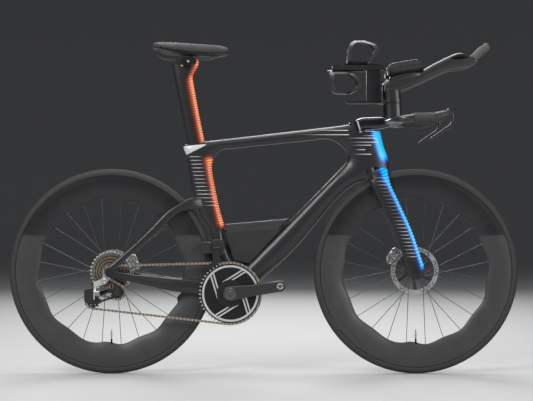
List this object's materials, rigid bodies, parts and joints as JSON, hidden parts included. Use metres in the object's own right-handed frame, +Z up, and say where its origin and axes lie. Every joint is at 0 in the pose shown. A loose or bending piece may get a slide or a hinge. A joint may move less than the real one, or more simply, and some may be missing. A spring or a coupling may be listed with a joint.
{
  "type": "time trial bicycle",
  "caption": "Aero time trial bicycle with deep wavy rims, disc brakes, tall riser extensions with arm rests, a rear-of-stem bottle bracket and a fitted storage box.",
  "frame": {"origin": "on the ground, midway between the wheel axles, in the middle plane of the bike", "axes": "+X forward, +Y to the rider's left, +Z up; the drive side faces -Y"},
  "size_m": [1.688, 0.435, 1.104],
  "materials": {
    "carbon": "satin paint with colour fades",
    "black_alloy": "anodised black",
    "silver_steel": "brushed",
    "chain_steel": "oiled",
    "rubber": "matt",
    "tyre": "matt",
    "plastic": "fine grain",
    "gloss_black": "gloss",
    "saddle_cover": "fine hatch",
    "foam": "foam skin",
    "brass": "bright"
  },
  "bodies": {
    "frame_body": {"frame": "carbon", "headset_bearings": "silver_steel", "bottom_bracket_cups": "black_alloy", "storage_box": "plastic", "front_derailleur": "plastic", "derailleur_hanger": "black_alloy", "derailleur_knuckle": "plastic", "rear_axle": "black_alloy", "rear_caliper": "black_alloy", "chain": "chain_steel"},
    "seat": {"seatpost": "carbon", "saddle_clamp": "black_alloy", "saddle_rails": "silver_steel", "saddle_shell": "plastic", "saddle_pad": "saddle_cover"},
    "box_lid": {"storage_lid": "plastic"},
    "front_shifter": {"front_derailleur_cage": "black_alloy"},
    "shift_link_outer": {"derailleur_link_outer": "black_alloy"},
    "shift_link_inner": {"derailleur_link_inner": "black_alloy"},
    "shift_knuckle": {"derailleur_moving_knuckle": "plastic"},
    "shift_cage": {"derailleur_cage": "black_alloy"},
    "pulley_guide": {"guide_pulley": "plastic"},
    "pulley_tension": {"tension_pulley": "plastic"},
    "sprockets": {"cassette": "silver_steel", "freehub_body": "black_alloy"},
    "rear_wheel": {"rear_hub": "black_alloy", "rear_spokes": "silver_steel", "rear_rim": "carbon", "rear_tyre": "tyre", "rear_valve": "brass", "rear_rotor": "silver_steel"},
    "crankset": {"crank_spindle": "black_alloy", "crank_arm_right": "carbon", "crank_arm_left": "carbon", "chainring_outer": "black_alloy", "chainring_inner": "black_alloy"},
    "steering": {"fork": "carbon", "front_axle": "black_alloy", "front_caliper": "black_alloy", "stem": "gloss_black", "base_bar": "carbon", "bar_grips": "rubber", "brake_hoods": "rubber", "riser_columns": "carbon", "extensions": "carbon", "extension_grips": "rubber", "arm_cups": "carbon", "arm_pads": "foam", "bottle_bracket": "black_alloy", "bottle_cages": "carbon"},
    "lever_right": {"brake_lever_right": "black_alloy"},
    "lever_left": {"brake_lever_left": "black_alloy"},
    "button_right": {"shift_button_right": "plastic"},
    "button_left": {"shift_button_left": "plastic"},
    "front_wheel": {"front_hub": "black_alloy", "front_spokes": "silver_steel", "front_rim": "carbon", "front_tyre": "tyre", "front_valve": "brass", "front_rotor": "silver_steel"}
  },
  "joints": [
    {"name": "steer", "type": "hinge", "parent": "frame_body", "child": "steering", "pos_m": [0.46399, 0, 0.32607], "axis": [-0.3007, 0, 0.9537], "range_deg": [-25, 25]},
    {"name": "front_wheel_spin", "type": "hinge", "parent": "steering", "child": "front_wheel", "pos_m": [0.505, 0, 0.339], "axis": [0, 1, 0], "continuous": true},
    {"name": "rear_wheel_spin", "type": "hinge", "parent": "frame_body", "child": "rear_wheel", "pos_m": [-0.505, 0, 0.339], "axis": [0, 1, 0], "continuous": true},
    {"name": "crank_spin", "type": "hinge", "parent": "frame_body", "child": "crankset", "pos_m": [-0.10932, 0, 0.268], "axis": [0, 1, 0], "continuous": true, "deforming": ["chain"]},
    {"name": "sprocket_spin", "type": "hinge", "parent": "frame_body", "child": "sprockets", "pos_m": [-0.505, 0, 0.339], "axis": [0, 1, 0], "continuous": true},
    {"name": "gear_shift", "type": "hinge", "parent": "frame_body", "child": "shift_link_outer", "pos_m": [-0.53988, -0.09447, 0.28055], "axis": [0, 0.6157, 0.788], "range_deg": [0, 60], "stiffness_Nm_per_rad": 0.4, "springref_deg": -20.05, "deforming": ["chain"]},
    {"name": "gear_shift_inner", "type": "hinge", "parent": "frame_body", "child": "shift_link_inner", "pos_m": [-0.53988, -0.08422, 0.27255], "axis": [0, 0.6157, 0.788], "range_deg": [0, 60]},
    {"name": "gear_shift_knuckle", "type": "hinge", "parent": "shift_link_outer", "child": "shift_knuckle", "pos_m": [-0.5, -0.10912, 0.292], "axis": [0, 0.6157, 0.788], "range_deg": [-60, 0]},
    {"name": "chain_take_up", "type": "hinge", "parent": "shift_knuckle", "child": "shift_cage", "pos_m": [-0.479, -0.0722, 0.274], "axis": [0, 1, 0], "range_deg": [-30, 2], "stiffness_Nm_per_rad": 1.2, "springref_deg": 28.65, "deforming": ["chain"]},
    {"name": "guide_pulley_spin", "type": "hinge", "parent": "shift_cage", "child": "pulley_guide", "pos_m": [-0.479, -0.065, 0.274], "axis": [0, 1, 0], "continuous": true},
    {"name": "tension_pulley_spin", "type": "hinge", "parent": "shift_cage", "child": "pulley_tension", "pos_m": [-0.55977, -0.065, 0.24447], "axis": [0, 1, 0], "continuous": true},
    {"name": "front_shift", "type": "hinge", "parent": "frame_body", "child": "front_shifter", "pos_m": [-0.1534, -0.0535, 0.418], "axis": [1, 0, 0], "range_deg": [0, 8], "stiffness_Nm_per_rad": 0.6, "springref_deg": -17.19, "deforming": ["chain"]},
    {"name": "brake_right", "type": "hinge", "parent": "steering", "child": "lever_right", "pos_m": [0.592, -0.2, 0.855], "axis": [0, 1, 0], "range_deg": [0, 16], "stiffness_Nm_per_rad": 1, "springref_deg": -17.19},
    {"name": "brake_left", "type": "hinge", "parent": "steering", "child": "lever_left", "pos_m": [0.592, 0.2, 0.855], "axis": [0, 1, 0], "range_deg": [0, 16], "stiffness_Nm_per_rad": 1, "springref_deg": -17.19},
    {"name": "shift_right", "type": "slide", "parent": "steering", "child": "button_right", "axis": [0.7448, 0, 0.6672], "range_m": [-0.0015, 0], "stiffness_N_per_m": 800, "springref_m": 0.001},
    {"name": "shift_left", "type": "slide", "parent": "steering", "child": "button_left", "axis": [0.7448, 0, 0.6672], "range_m": [-0.0015, 0], "stiffness_N_per_m": 800, "springref_m": 0.001},
    {"name": "seat_height", "type": "slide", "parent": "frame_body", "child": "seat", "axis": [-0.2028, 0, 0.9792], "range_m": [-0.01, 0.03]},
    {"name": "lid_lift", "type": "slide", "parent": "frame_body", "child": "box_lid", "axis": [-0.0851, 0, 0.9964], "range_m": [0, 0.06]}
  ],
  "couplings": [
    {"joint": "sprocket_spin", "follows": "crank_spin", "ratio": 5},
    {"joint": "guide_pulley_spin", "follows": "crank_spin", "ratio": -4.1667},
    {"joint": "tension_pulley_spin", "follows": "crank_spin", "ratio": 4.1667},
    {"joint": "gear_shift_inner", "follows": "gear_shift", "ratio": 1},
    {"joint": "gear_shift_knuckle", "follows": "gear_shift", "ratio": -1}
  ]
}
